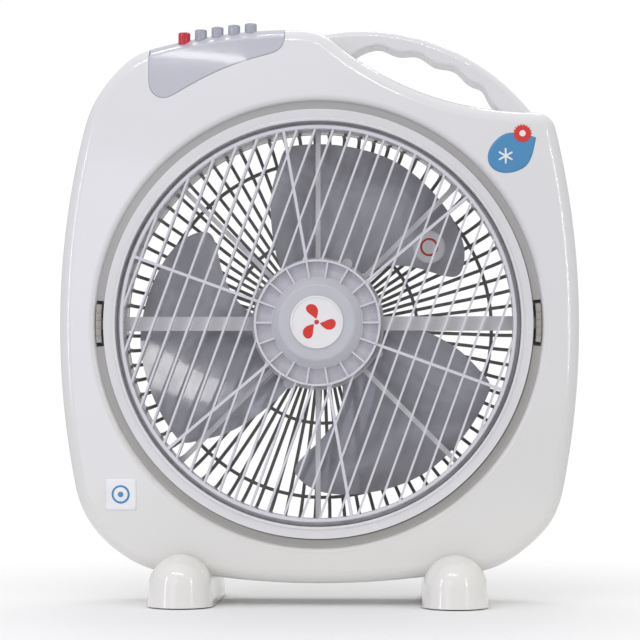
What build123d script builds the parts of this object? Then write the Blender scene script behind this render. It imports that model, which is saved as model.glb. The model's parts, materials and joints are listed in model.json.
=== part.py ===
from build123d import *
import os
from math import cos, pi, radians, sin, sqrt

# A portable box fan with a rotating louvre, made as separate pieces.
# Millimetres. +X right, +Y to the back, +Z up. The origin is on the floor, below the hub.
# Angles round the hub are read from the front, counter-clockwise from +X.

# ---------------------------------------------------------------- driving dimensions
HUB_Z = 259.0            # height of the fan axis
HALF_WIDTH = 240.0       # half of the casing's widest width
WIDEST_Z = 262.0         # height at which the casing is widest
SIDE_BOW = 800.0         # radius of the bowed sides
CROWN = 1600.0           # radius of the slightly domed front face
FRONT_Y = -72.0          # where that dome would peak, on the fan axis
REAR_Y = 48.0            # flat back of the rear casing
WALL = 3.0               # casing wall
EDGE = 14.0              # rounding of the casing's outer edges
INNER_EDGE = 8.0         # rounding inside the casing
SEAM = 0.25              # half of the gap between the two casings

CHANNEL_R = 205.0        # front opening: inside wall of the channel round the front ring
OPENING_R = 208.0        # outside of that wall
LIP_ROLL = 5.0           # rounding where the front face turns into the channel
LIP_JOIN_R = 211.0       # where the rounding meets the domed face
FLOOR_Y = -35.0          # floor of that channel
LEDGE_Y = -53.0          # front of the ledge that half closes the channel
SHROUD_R = 184.0         # air duct, inner radius
RING_OUT_R = 197.0       # front ring, outer radius
RING_IN_R = 186.0        # front ring, inner radius
RING_FRONT_Y = -62.0

WHEEL_R = 182.0          # louvre wheel, outer radius
RIM_T = 3.4              # thickness of its rim
WHEEL_FRONT_Y = -62.0
WHEEL_BACK_Y = -51.0
WHEEL_HUB_R = 58.0       # louvre wheel, hub ring
VANE_PITCH = 15.75
VANE_ANGLE = 70.0
SPOKES = 6
SPOKE_START = 40.0
HUB_RIBS = 18
POCKET_R = 42.0          # inner radius of the open pockets round the cap
POCKET_Y = -55.5         # back of those pockets

SPIDER_FRONT_Y = -46.0
SPIDER_BACK_Y = -37.0
SPIDER_DISC_R = 61.0
ARMS = 8

BLADES = 3
SWEEP_R = 170.0          # blade tip radius, a 340 mm sweep
BLADE_FRONT_Y = -30.0
BLADE_BACK_Y = 6.0
BLADE_T = 2.0
ROTOR_R = 36.0

SHAFT_R = 4.0
RUNNING_GAP = 0.04       # radial clearance of a running fit
MOTOR_R = 47.0
MOTOR_BACK_Y = 52.0

GRILLE_BACK_Y = 62.0
GRILLE_R = 191.0
GRILLE_BARS = 80
GRILLE_RINGS = (92.0, 164.0)
BAR_W = 3.2              # width of a bar

KEY_R = 5.7              # push keys
KEY_PITCH = 15.6
KEY_FIRST_X = -126.0
KEY_Y = -34.0
KEY_H = 18.0             # height of a key's cap
KEY_PROUD = 8.0          # how far a key stands above the panel
KEY_NAMES = ["stop", "low", "medium", "high", "louvre"]
DECK_Z = 505.0           # top of the switch body
PANEL_BEVEL = 9.0        # flat bevel along the panel's front edge
BRACKET_Y = -24.0        # back of the switch, where its strap lies
BRACKET_SCREWS = [(-146.0, 487.0), (-43.5, 487.0)]
LEDGE_POINTS = [(-142.0, 467.0), (-107.0, 485.0), (-70.0, 500.5), (-42.0, 508.0)]
PANEL_OUTLINE = [         # down its left side, along its lower edge and up its right side
    (-158.0, 560.0), (-158.0, 520.0), (-158.0, 489.0), (-155.0, 475.0), (-144.5, 468.5), (-131.0, 473.0),
    (-110.0, 484.8), (-88.5, 495.0), (-66.5, 503.0), (-46.0, 508.6), (-37.0, 512.4), (-32.0, 518.5),
    (-30.5, 528.5), (-30.5, 541.0), (-30.5, 560.0),
]

LATCH_HALF_ANGLE = 5.0   # side latches of the front ring

FOOT_X = 125.0
FOOT_R = 29.0
FOOT_HALF_LENGTH = 88.0
FOOT_SCREW_YS = [-30.0, 24.0]
PAD_H = 1.2              # how far the rubber pads lift the feet

HANDLE_CENTRE = (38.0, 334.0)
HANDLE_R = 204.0
HANDLE_HALF_DEPTH = 15.0
FINGER_PITCH = 11.3      # degrees between finger grooves
GRIP_T = 16.2            # mean thickness of the grip
HANDLE_SCREWS = [(7.0, 512.0), (184.0, 446.0)]

LOUVRE_SHAFT_R = 3.5
LOUVRE_SCREW_ANGLES = [90, 270]
SPIDER_SCREW_ANGLES = [22.5, 112.5, 202.5, 292.5]
GRILLE_SCREW_ANGLES = [45, 135, 225, 315]
BOLT_ANGLES = [45, 135, 225, 315]
MOUNT_ANGLES = [0, 90, 180, 270]
PAD_YS = [-64.0, 64.0]
GLAND_POINT = (-168.0, 100.0)


# ---------------------------------------------------------------- helpers
def prism(sketch, y_from, y_to):
    """A front-view (x, z) sketch made solid between two depths."""
    return extrude(Plane.XZ.offset(-y_to) * sketch, y_to - y_from)


def on_hub(shape):
    """Move a piece drawn about the Y axis up to the fan axis."""
    return Pos(0, 0, HUB_Z) * shape


def turned(*outline):
    """A solid of revolution about the Y axis from an (r, y) outline."""
    return revolve(make_face(Polyline(*outline, close=True)), Axis.Y)


def tube(r_in, r_out, y_from, y_to):
    """A ring, or a disc where r_in is 0, about the Y axis."""
    return turned((r_in, y_from), (r_out, y_from), (r_out, y_to), (r_in, y_to))


def turn(shape, angle):
    """Turn a piece about the Y axis, counter-clockwise as seen from the front."""
    return Rot(0, -angle, 0) * shape


def polar(radius, angle):
    """An (x, z) point at a radius and angle from the Y axis."""
    return radius * cos(radians(angle)), radius * sin(radians(angle))


def peg(x, z, radius, y_from, y_to):
    """A round peg along Y."""
    return prism(Pos(x, z) * Circle(radius), y_from, y_to)


def block(x_size, y_size, z_size, x, y, z):
    """A box given by its size and its centre."""
    return Pos(x, y, z) * Box(x_size, y_size, z_size)


def sector(r_in, r_out, y_from, y_to, middle, half_angle):
    """Part of a ring, spread evenly about the angle in the middle."""
    outline = Polyline((r_in, y_from), (r_out, y_from), (r_out, y_to), (r_in, y_to), close=True)
    piece = revolve(make_face(outline), Axis.Y, 2 * half_angle)
    return turn(piece, middle + half_angle)


def screw(x, z, head_y, tip_y, shank_r, head_r, head_h):
    """A pan-head screw along Y with a cross slot. It enters at head_y and points to tip_y."""
    way = 1 if tip_y > head_y else -1
    head_top = head_y - way * head_h
    body = peg(x, z, shank_r, min(head_y, tip_y), max(head_y, tip_y))
    head = peg(x, z, head_r, min(head_y, head_top), max(head_y, head_top))
    slot_y = head_top + way * head_h * 0.25
    slot = block(head_r * 1.3, head_h * 0.5, head_r * 0.3, x, slot_y, z)
    cross = block(head_r * 0.3, head_h * 0.5, head_r * 1.3, x, slot_y, z)
    return body + head - slot - cross


def save(name, shape):
    """Write one sub-part."""
    shape.label = name
    export_step(shape, f"parts/{name}.step")
    solids = shape.solids()
    print(f"{name:24s} solids {len(solids):3d}  volume {sum(s.volume for s in solids):10.0f}")


# ---------------------------------------------------------------- casing outline
def side_x(z):
    """Half width of the casing at a height on its bowed sides."""
    return HALF_WIDTH - SIDE_BOW + sqrt(SIDE_BOW**2 - (z - WIDEST_Z) ** 2)


def casing_edges():
    """Front view of the casing: bowed sides, a domed top on the left, a low shoulder on the right."""
    low_z = 110.0
    high_z = 430.0
    corner_z = 440.0
    bottom = ThreePointArc((-87, 25.4), (0, 20.5), (87, 25.4))
    right = ThreePointArc((side_x(low_z), low_z), (HALF_WIDTH, WIDEST_Z), (side_x(corner_z), corner_z))
    left = ThreePointArc((-side_x(high_z), high_z), (-HALF_WIDTH, WIDEST_Z), (-side_x(low_z), low_z))
    dome = ThreePointArc((-20, 533.7), (-90, 529.9), (-158, 517))
    shoulder = ThreePointArc((196, 455.2), (90, 475.7), (26, 512.3))
    foot_right = Spline(bottom @ 1, (166, 37), (202, 63), right @ 0, tangents=(bottom % 1, right % 0))
    corner = Spline(right @ 1, (213, 451), shoulder @ 0, tangents=(right % 1, shoulder % 0))
    nose = Spline(shoulder @ 1, (8.5, 526.5), dome @ 0, tangents=(shoulder % 1, dome % 0))
    crest = Spline(dome @ 1, (-190, 496), (-212, 464), left @ 0, tangents=(dome % 1, left % 0))
    foot_left = Spline(left @ 1, (-202, 63), (-166, 37), bottom @ 0, tangents=(left % 1, bottom % 0))
    return [bottom, foot_right, right, corner, shoulder, nose, dome, crest, left, foot_left]


def inward(edge, share, distance):
    """A point beside an edge of the outline, inward by a distance."""
    along = edge % share
    return edge @ share + Vector(-along.Y, along.X) * distance


def casing_outline(inset=0.0):
    """The casing's outline as a face, drawn in by inset all round."""
    edges = casing_edges()
    if not inset:
        return make_face(edges)
    steps = 6
    drawn_in = []
    for edge in edges:
        points = [inward(edge, i / steps, inset) for i in range(steps + 1)]
        drawn_in.append(Spline(*points, tangents=(edge % 0, edge % 1)))
    return make_face(drawn_in)


def front_body(inset):
    """The front casing as a full block, shrunk by inset on every outer face."""
    outline = casing_outline(inset)
    ball = Pos(0, FRONT_Y + CROWN, HUB_Z) * Sphere(CROWN - inset)
    whole = prism(outline, -90, 0) & ball
    rim = [e for e in whole.edges() if max(v.Y for v in e.vertices()) < -20]
    return fillet(rim, INNER_EDGE if inset else EDGE)


def rear_body(inset):
    """The rear casing as a full block, shrunk by inset on every outer face."""
    outline = casing_outline(inset)
    whole = prism(outline, 0, REAR_Y - inset)
    rim = [e for e in whole.edges() if min(v.Y for v in e.vertices()) > REAR_Y - inset - 1]
    return fillet(rim, INNER_EDGE if inset else EDGE)


def panel_body():
    """The front casing with a flat bevel in place of its rounding, for the control panel."""
    ball = Pos(0, FRONT_Y + CROWN, HUB_Z) * Sphere(CROWN)
    whole = prism(casing_outline(), -90, 0) & ball
    rim = [e for e in whole.edges() if max(v.Y for v in e.vertices()) < -20]
    return chamfer(rim, PANEL_BEVEL)


def crown_y(radius):
    """Depth of the domed front face at a radius from the fan axis."""
    return FRONT_Y + CROWN - sqrt(CROWN**2 - radius**2)


def dome_z(x):
    """Height of the casing's top at x, on the long arc that the panel covers."""
    return 18.5 + sqrt(515.3**2 - (x + 28.6) ** 2)


# ---------------------------------------------------------------- casing
def post_points():
    """Where the two casings are screwed together, as (x, z)."""
    return [(-178, 72), (178, 72), (-60, 38), (60, 38), (-186, 452), (198, 428), (-20, 503)]


def handle_tenons():
    """The two feet of the handle, which the casings clamp at the seam."""
    left = prism(Pos(7, 516) * Rectangle(14, 22), -6, 6)
    right = prism(Pos(184, 450) * Rectangle(14, 20), -6, 6)
    return [left, right]


def handle_lugs():
    """Plates in the front casing that the tenons are screwed to."""
    left = prism(Pos(7, 517) * Rectangle(16, 34), -9, -6)
    right = prism(Pos(184, 446) * Rectangle(16, 28), -9, -6)
    return [left, right]


def foot_screw_points(y):
    """The left and right foot screws at one depth, as (x, y)."""
    return [(-FOOT_X, y), (FOOT_X, y)]


def foot_boss(x, y):
    """A boss standing on the casing's floor for a foot's screw."""
    return Pos(x, y, 20) * extrude(Circle(6), 26)


def panel_region(gap=0.0):
    """Front view of the control panel, drawn in by a small gap."""
    edge = Spline(*PANEL_OUTLINE)
    if gap:
        shares = [edge.param_at_point(point) for point in PANEL_OUTLINE]
        edge = Spline(*[inward(edge, share, gap) for share in shares])
    return make_face([edge, Line(edge @ 1, edge @ 0)])


def front_collar():
    """The rolled wall round the opening, the channel floor and the front half of the air duct."""
    rolled_x = CHANNEL_R + LIP_ROLL
    lip_y = crown_y(LIP_JOIN_R)
    middle = LIP_ROLL * (1 - cos(radians(45)))
    back = FLOOR_Y + 2.5
    roll = ThreePointArc((CHANNEL_R, lip_y + LIP_ROLL), (CHANNEL_R + middle, lip_y + middle), (rolled_x, lip_y))
    rest = Polyline(
        (rolled_x, lip_y), (LIP_JOIN_R, lip_y), (LIP_JOIN_R, lip_y + WALL), (OPENING_R, lip_y + 2 * WALL),
        (OPENING_R, back), (CHANNEL_R, back), (CHANNEL_R, lip_y + LIP_ROLL),
    )
    wall = revolve(make_face([roll, rest]), Axis.Y)
    floor = tube(SHROUD_R, OPENING_R, FLOOR_Y, back)
    duct = tube(SHROUD_R, SHROUD_R + 2.5, FLOOR_Y, -1)
    ledge = tube(RING_OUT_R + 1.2, CHANNEL_R + 1, LEDGE_Y, LEDGE_Y + 2.2)
    notch = sector(RING_OUT_R, CHANNEL_R, LEDGE_Y - 1, LEDGE_Y + 3, 0, LATCH_HALF_ANGLE + 1)
    ledge = ledge.cut(notch, turn(notch, 180))
    return on_hub(wall + floor + duct + ledge)


def latch_slots():
    """Slots in the collar that the side latches hook into."""
    slot = sector(CHANNEL_R - 0.5, CHANNEL_R + 3.5, -52.4, -47.6, 0, 2.4)
    return [on_hub(turn(slot, angle)) for angle in (0, 180)]


def front_housing():
    block_out = front_body(0)
    block_in = front_body(WALL)
    skin = block_out - block_in
    skin -= prism(panel_region(), -90, -1)
    skin -= on_hub(tube(0, LIP_JOIN_R, -90, 0))
    shell = skin + front_collar()
    posts = [peg(x, z, 5, -60, 0) & block_out for x, z in post_points()]
    ledges = [block(12, 12, 9, x, -50.4, z) & block_in for x, z in LEDGE_POINTS]
    lugs = [lug & block_out for lug in handle_lugs()]
    bosses = [foot_boss(x, y) & block_out for x, y in foot_screw_points(FOOT_SCREW_YS[0])]
    strap_x, strap_z = BRACKET_SCREWS[1]
    strap_boss = peg(strap_x, strap_z, 5, -60, BRACKET_Y) & block_out
    shell = shell.fuse(*posts, *ledges, *lugs, *bosses, strap_boss)
    cuts = [peg(x, z, 1.6, -24, 0) for x, z in post_points()]
    cuts.append(peg(strap_x, strap_z, 1.4, -36, BRACKET_Y))
    cuts += [screw_bore(x, y) for x, y in foot_screw_points(FOOT_SCREW_YS[0])]
    cuts += [peg(x, z, 1.6, -9, -6) for x, z in HANDLE_SCREWS]
    cuts += handle_tenons() + latch_slots()
    cuts.append(prism(Rectangle(900, 1300), -SEAM, 1))
    return shell.cut(*cuts)


def rear_housing():
    block_out = rear_body(0)
    block_in = rear_body(WALL)
    skin = block_out - block_in
    skin -= on_hub(tube(0, GRILLE_R + 1, 0, REAR_Y))
    lip = prism(casing_outline(WALL + 0.3), -3, 4)
    lip -= prism(casing_outline(WALL + 1.7), -3, 4)
    seat = prism(casing_outline(WALL - 1), 2, 4)
    seat -= prism(casing_outline(WALL + 1.7), 2, 4)
    wall = tube(GRILLE_R + 1, GRILLE_R + 3.5, 11, REAR_Y)
    flange = tube(SHROUD_R, GRILLE_R + 3.5, 11, 14)
    duct = tube(SHROUD_R, SHROUD_R + 2.5, 1, 14)
    shell = skin + lip + seat + on_hub(wall + flange + duct)
    sleeves = [peg(x, z, 7, SEAM, REAR_Y) for x, z in post_points()]
    bosses = [foot_boss(x, y) & block_out for x, y in foot_screw_points(FOOT_SCREW_YS[1])]
    shell = shell.fuse(*sleeves, *bosses)
    cuts = [peg(x, z, 1.6, 0, REAR_Y) for x, z in post_points()]
    cuts += [peg(x, z, 4.4, 12, REAR_Y + 1) for x, z in post_points()]
    cuts += [screw_bore(x, y) for x, y in foot_screw_points(FOOT_SCREW_YS[1])]
    cuts += [on_hub(turn(peg(189, 0, 1.2, 10, 15), angle)) for angle in GRILLE_SCREW_ANGLES]
    cuts += [grow(tenon) for tenon in handle_tenons()]
    cuts += [grow(lug) for lug in handle_lugs()]
    cuts += [peg(x, z, 5.3, -4, SEAM) for x, z in post_points()]
    cuts.append(peg(*GLAND_POINT, 6.5, 40, 50))
    return shell.cut(*cuts)


def grow(solid):
    """A notch with a little room round a block."""
    size = solid.bounding_box().size
    middle = solid.center(CenterOf.BOUNDING_BOX)
    return Pos(*middle) * Box(size.X + 0.6, size.Y + 0.01, size.Z + 0.6)


def screw_bore(x, y):
    """Pilot hole for a foot's screw."""
    return Pos(x, y, 10) * extrude(Circle(1.8), 30)


def cord_gland():
    """Rubber grommet in the back wall where the mains cord would come in."""
    x, z = GLAND_POINT
    outside = peg(x, z, 9, REAR_Y, REAR_Y + 3.5)
    outside = fillet(outside.edges().filter_by(GeomType.CIRCLE).sort_by(Axis.Y)[-1], 1.5)
    neck = peg(x, z, 6.5, REAR_Y - 3, REAR_Y)
    inside = peg(x, z, 8.5, REAR_Y - 5, REAR_Y - 3)
    return outside + neck + inside - peg(x, z, 3.6, 30, 60)


# ---------------------------------------------------------------- handle
def grip_thickness(angle):
    """Thickness of the grip at an angle round its arc, with a swell between fingers."""
    swell = 1.9 * cos(2 * pi * (angle - 67.5) / FINGER_PITCH)
    return GRIP_T + swell


def handle_point(inset, angle):
    """A point of the grip's arc, in from the outside by inset."""
    x, z = polar(HANDLE_R - inset, angle)
    return HANDLE_CENTRE[0] + x, HANDLE_CENTRE[1] + z


def carry_handle():
    first = 86.0
    last = 53.0
    steps = 24
    angles = [first + (last - first) * i / steps for i in range(steps + 1)]
    grooves = [handle_point(grip_thickness(a), a) for a in angles]
    inner = Spline((22, 500), (30, 511.5), *grooves, (160, 471), (169, 459), (174, 450))
    outer = ThreePointArc(handle_point(0, 35), handle_point(0, 70), handle_point(0, 99))
    close_right = Polyline(inner @ 1, (180, 440), outer @ 0)
    close_left = Polyline(outer @ 1, (-2, 510), inner @ 0)
    profile = make_face([inner, close_right, outer, close_left])
    grip = prism(profile, -HANDLE_HALF_DEPTH, HANDLE_HALF_DEPTH)
    outer_edges = [e for e in grip.edges() if e.length > 100 and e.geom_type == GeomType.CIRCLE]
    grip = fillet(outer_edges, 6.5)
    inner_edges = [e for e in grip.edges() if e.length > 130 and e.geom_type == GeomType.BSPLINE]
    grip = fillet(inner_edges, 3.0)
    grip -= prism(casing_outline(), -40, 40)
    solid = grip.fuse(*handle_tenons())
    return solid.cut(*[peg(x, z, 1.6, -7, 7) for x, z in HANDLE_SCREWS])


# ---------------------------------------------------------------- control panel and switch
def key_x(number):
    return KEY_FIRST_X + KEY_PITCH * number


def key_top(number):
    return dome_z(key_x(number)) + KEY_PROUD


def control_panel():
    skin = panel_body() - front_body(WALL)
    panel = skin & prism(panel_region(0.2), -90, -1.2)
    block_out = panel_body()
    x, z = BRACKET_SCREWS[0]
    panel += peg(x, z, 5, -60, BRACKET_Y) & block_out
    holes = [Pos(key_x(i), KEY_Y, DECK_Z) * extrude(Circle(KEY_R + 0.3), 50) for i in range(5)]
    return panel.cut(*holes, peg(x, z, 1.4, -36, BRACKET_Y))


def key(number):
    """A round push key: cap above, stem down into the switch."""
    top = key_top(number)
    cap = Pos(key_x(number), KEY_Y, top - KEY_H) * extrude(Circle(KEY_R), KEY_H)
    cap = fillet(cap.edges().sort_by(Axis.Z)[-1], 1.2)
    stem_foot = DECK_Z - 14
    stem = Pos(key_x(number), KEY_Y, stem_foot) * extrude(Circle(2.2), top - KEY_H - stem_foot)
    return cap + stem


def key_spring(number):
    """The coil that lifts a key, round its stem."""
    low = DECK_Z + 0.4
    high = key_top(number) - KEY_H - 0.4
    turns = 4
    path = Helix(pitch=(high - low) / turns, height=high - low, radius=3.6)
    wire_end = Plane(origin=path @ 0, z_dir=path % 0)
    coil = sweep(wire_end * Circle(0.35), path)
    return Pos(key_x(number), KEY_Y, low) * coil


def switch_body():
    """The switch block that the five stems run into."""
    middle = key_x(2)
    body = block(84, 20, 25, middle, KEY_Y, DECK_Z - 12.5)
    body = fillet(body.edges().filter_by(Axis.Z), 1.5)
    tabs = [block(4.5, 0.8, 9, middle - 32 + 16 * i, KEY_Y + 6, DECK_Z - 29.5) for i in range(5)]
    body = body.fuse(*tabs)
    wells = [Pos(key_x(i), KEY_Y, DECK_Z - 20) * extrude(Circle(2.5), 25) for i in range(5)]
    return body.cut(*wells)


def switch_bracket():
    """Steel strap that holds the switch from behind, with an ear at each end."""
    middle = key_x(2)
    ears = [peg(x, z, 6, BRACKET_Y, BRACKET_Y + 1.2) for x, z in BRACKET_SCREWS]
    strap = block(BRACKET_SCREWS[1][0] - BRACKET_SCREWS[0][0], 1.2, 9, middle, BRACKET_Y + 0.6, 487)
    plate = strap.fuse(*ears)
    return plate.cut(*[peg(x, z, 1.4, -40, 0) for x, z in BRACKET_SCREWS])


# ---------------------------------------------------------------- front ring, latches and spider
def front_ring():
    """Removable ring that carries the spider and frames the louvre."""
    outer = tube(RING_OUT_R - 3, RING_OUT_R, RING_FRONT_Y, FLOOR_Y)
    face = tube(RING_IN_R + 1, RING_OUT_R - 1, RING_FRONT_Y, RING_FRONT_Y + 2.5)
    inner = tube(RING_IN_R, RING_IN_R + 2.5, RING_FRONT_Y - 1.5, SPIDER_FRONT_Y + 6)
    ring = outer + face + inner
    front_edges = [e for e in ring.edges() if e.center(CenterOf.BOUNDING_BOX).Y < RING_FRONT_Y + 0.1]
    ring = fillet(front_edges, 0.7)
    boss = peg(191, 0, 2.9, RING_FRONT_Y + 1, SPIDER_BACK_Y - 3)
    bosses = [turn(boss, a) for a in SPIDER_SCREW_ANGLES]
    slot = sector(RING_OUT_R - 4, RING_OUT_R + 1, -50.4, -45.6, 0, 1.9)
    bores = [turn(peg(191, 0, 1.2, -50, -30), a) for a in SPIDER_SCREW_ANGLES]
    slots = [turn(slot, a) for a in (0, 180)]
    return on_hub(ring.fuse(*bosses).cut(*slots, *bores))


def ring_latch(angle):
    """Side latch: a press plate, a hook into the casing and a tongue into the ring."""
    plate = sector(199.8, 204.6, -56.5, -44, 0, LATCH_HALF_ANGLE)
    hook = sector(204, 207, -52, -48, 0, 2)
    tongue = sector(192, 200.5, -50, -46, 0, 1.5)
    grip = [turn(block(3.2, 1.2, 1.4, 202.2, -56.9, 0), -3 + 2 * i) for i in range(4)]
    return on_hub(turn((plate + hook + tongue).fuse(*grip), angle))


def spider():
    """Fixed eight-armed frame behind the louvre. Its two level arms are wire channels."""
    disc = tube(0, SPIDER_DISC_R, SPIDER_FRONT_Y, SPIDER_FRONT_Y + 3)
    rim = tube(SPIDER_DISC_R - 3, SPIDER_DISC_R, SPIDER_FRONT_Y, SPIDER_BACK_Y)
    ring = tube(179, RING_IN_R - 0.2, SPIDER_FRONT_Y, SPIDER_BACK_Y)
    flange = tube(179, 193.6, SPIDER_BACK_Y - 3, SPIDER_BACK_Y)
    reach = 182 - SPIDER_DISC_R + 2
    pieces = [rim, ring, flange]
    for i in range(ARMS):
        level = i % (ARMS // 2) == 0
        width = 13 if level else 4.5
        depth = SPIDER_BACK_Y - SPIDER_FRONT_Y
        arm = block(reach, depth, width, SPIDER_DISC_R - 2 + reach / 2, SPIDER_FRONT_Y + depth / 2, 0)
        if level:
            arm -= block(reach + 2, depth, width - 4, SPIDER_DISC_R - 2 + reach / 2, SPIDER_BACK_Y - 2.5, 0)
        pieces.append(turn(arm, 360 / ARMS * i))
    for angle in (64, 154, 244, 334):
        pieces.append(turn(peg(SPIDER_DISC_R, 0, 5, SPIDER_FRONT_Y - 2.5, SPIDER_BACK_Y), angle))
    frame = disc.fuse(*pieces)
    cuts = [turn(peg(191, 0, 1.2, -45, -30), a) for a in SPIDER_SCREW_ANGLES]
    cuts += [turn(peg(30, 0, 1.4, -50, -40), a) for a in LOUVRE_SCREW_ANGLES]
    cuts.append(block(8, 4, 9, -60, SPIDER_BACK_Y - 2, 0))
    return on_hub(frame.cut(*cuts))


# ---------------------------------------------------------------- louvre
def louvre_motor():
    """Small geared motor that turns the louvre wheel."""
    can = tube(0, 25, -60.5, SPIDER_FRONT_Y)
    can = fillet(can.edges().sort_by(Axis.Y)[0], 1.5)
    collar = tube(0, 7, -61.3, -60)
    ears = [turn(peg(30, 0, 4.5, SPIDER_FRONT_Y - 1.2, SPIDER_FRONT_Y), a) for a in LOUVRE_SCREW_ANGLES]
    bridges = [
        turn(block(10, 1.2, 9, 25, SPIDER_FRONT_Y - 0.6, 0), a) for a in LOUVRE_SCREW_ANGLES
    ]
    body = can.fuse(collar, *ears, *bridges)
    cuts = [turn(peg(30, 0, 1.4, -50, -40), a) for a in LOUVRE_SCREW_ANGLES]
    cuts.append(tube(0, LOUVRE_SHAFT_R + RUNNING_GAP, -62, -52))
    return on_hub(body.cut(*cuts))


def louvre_shaft():
    """Output shaft of the louvre motor, with a flat that drives the wheel."""
    rod = tube(0, LOUVRE_SHAFT_R, -69, -52.5)
    flat = block(8, 8, 8, LOUVRE_SHAFT_R + 3, -66.2, 0)
    return on_hub(rod - flat)


def vane_pieces(offset_from_axis):
    """One louvre vane at a distance from the axis, cut in two where it meets the hub ring."""
    outer = sqrt((WHEEL_R - RIM_T / 2) ** 2 - offset_from_axis**2)
    middle_y = (WHEEL_FRONT_Y + WHEEL_BACK_Y) / 2
    hub_edge = WHEEL_HUB_R - 1
    if abs(offset_from_axis) >= hub_edge:
        return [block(2 * outer, 10, 1.9, 0, middle_y, offset_from_axis)]
    inner = sqrt(hub_edge**2 - offset_from_axis**2)
    length = outer - inner
    return [block(length, 10, 1.9, s * (inner + length / 2), middle_y, offset_from_axis) for s in (-1, 1)]


def wheel_hub():
    """The hub ring, the middle plate and the open pockets between their ribs."""
    ring = tube(WHEEL_HUB_R - 2, WHEEL_HUB_R, -65, WHEEL_BACK_Y)
    plate = tube(0, POCKET_R, -64.5, -62)
    step = tube(POCKET_R - 2.5, POCKET_R, -64.5, POCKET_Y)
    pocket = tube(POCKET_R - 2.5, WHEEL_HUB_R - 1, POCKET_Y - 2, POCKET_Y)
    boss = tube(0, 9, -68, -63)
    rib_y = POCKET_Y - 66
    reach = WHEEL_HUB_R - POCKET_R
    rib = block(reach, POCKET_Y + 66, 1.6, POCKET_R + reach / 2 - 1, rib_y / 2, 0)
    ribs = [turn(rib, 100 + 360 / HUB_RIBS * i) for i in range(HUB_RIBS)]
    return ring.fuse(plate, step, pocket, boss, *ribs)


def louvre_wheel():
    """Turning wheel of parallel vanes that sweeps the air round."""
    rim = tube(WHEEL_R - RIM_T, WHEEL_R, WHEEL_FRONT_Y, WHEEL_BACK_Y)
    rim = fillet([e for e in rim.edges() if e.length > 10], 0.8)
    middle_y = (WHEEL_FRONT_Y + WHEEL_BACK_Y) / 2
    reach = WHEEL_R - RIM_T / 2 - WHEEL_HUB_R + 1
    spoke = block(reach, 10.4, 2.6, WHEEL_HUB_R - 1 + reach / 2, middle_y, 0)
    pieces = [wheel_hub()]
    pieces += [turn(spoke, SPOKE_START + 360 / SPOKES * i) for i in range(SPOKES)]
    count = int((WHEEL_R - RIM_T) / VANE_PITCH)
    for i in range(-count, count + 1):
        pieces += [turn(v, VANE_ANGLE) for v in vane_pieces(VANE_PITCH * i)]
    wheel = rim.fuse(*pieces)
    bore = tube(0, LOUVRE_SHAFT_R, -69, -60) - block(8, 7.8, 8, LOUVRE_SHAFT_R + 3, -66.1, 0)
    return on_hub(wheel - bore)


def hub_cap():
    """Bevelled cap over the middle of the louvre wheel."""
    cap = turned(
        (0, -74), (33.5, -74), (35, -73.2), (40.2, -67), (41, -65.8), (41, -64.5),
        (38.5, -64.5), (38.5, -66), (33, -71.5), (0, -71.5),
    )
    return on_hub(cap)


def hub_disc():
    """Thin round plate on the cap, with a raised rim."""
    plate = tube(0, 24, -75, -74)
    rim = tube(22.3, 24, -75.8, -74)
    disc = plate + rim
    edges = [e for e in disc.edges() if e.center(CenterOf.BOUNDING_BOX).Y < -75.7]
    return on_hub(fillet(edges, 0.3))


# ---------------------------------------------------------------- fan
def blade_outline():
    """Front view of one blade, with its leading lobe at the clockwise end."""
    tip = ThreePointArc(polar(SWEEP_R, 98), polar(SWEEP_R, 84), polar(SWEEP_R, 70))
    lobe = Spline(
        tip @ 1, polar(167, 56), polar(163, 45), polar(158, 33), polar(149, 24), polar(138, 20), polar(126, 22),
        polar(110, 29), polar(94, 37), polar(75, 46), polar(34, 62), tangents=(tip % 1, polar(-1, 34)),
    )
    root = Line(lobe @ 1, polar(34, 130))
    trail = Spline(
        root @ 1, polar(69, 123), polar(96, 117), polar(135, 109), polar(160, 103), tip @ 0,
        tangents=(polar(1, 115), polar(-1, 188)),
    )
    return make_face([tip, lobe, root, trail])


def blade():
    """One wide twisted blade: a screw surface cut to the blade's front view."""
    first = 8.0
    last = 134.0
    steps = 12
    sections = []
    for i in range(steps + 1):
        share = i / steps
        angle = first + (last - first) * share
        lift = BLADE_BACK_Y + (BLADE_FRONT_Y - BLADE_BACK_Y) * (1.25 * share - 0.25 * share**2)
        strip = Plane.XY * Pos(105, lift) * Rectangle(150, BLADE_T)
        sections.append(turn(strip, angle))
    slab = loft(sections)
    return slab & prism(blade_outline(), -60, 40)


def fan_rotor():
    """Three-bladed fan with a hub that fits the motor shaft."""
    cup = turned(
        (0, -25), (30, -25), (34, -23.5), (ROTOR_R, -20), (ROTOR_R, 4), (ROTOR_R - 3, 4), (ROTOR_R - 3, -20),
        (30, -22), (9, -22), (9, 3), (0, 3),
    )
    ribs = [turn(block(25, 12, 2, 21, -16.5, 0), 60 * i) for i in range(6)]
    blades = [turn(blade(), 360 / BLADES * i) for i in range(BLADES)]
    rotor = cup.fuse(*blades, *ribs)
    return on_hub(rotor - tube(0, SHAFT_R, -30, 10))


def blade_nut():
    """Domed nut that holds the fan on its shaft."""
    nut = turned((0, -35.5), (6, -35), (11, -32.5), (14, -28), (14, -25), (0, -25))
    wings = [turn(block(6, 5, 3, 14, -28, 0), 120 * i) for i in range(3)]
    return on_hub(nut.fuse(*wings) - tube(0, SHAFT_R - 0.5, -33, -24))


def motor_shaft():
    rod = tube(0, SHAFT_R, -25, 48.5)
    tip = tube(0, SHAFT_R - 0.5, -33, -25)
    return on_hub(rod + tip)


# ---------------------------------------------------------------- motor
def cover_ears(y_from, y_to):
    """The bolt ears round a motor cover."""
    return [turn(peg(49.5, 0, 4.5, y_from, y_to), a) for a in BOLT_ANGLES]


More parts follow.
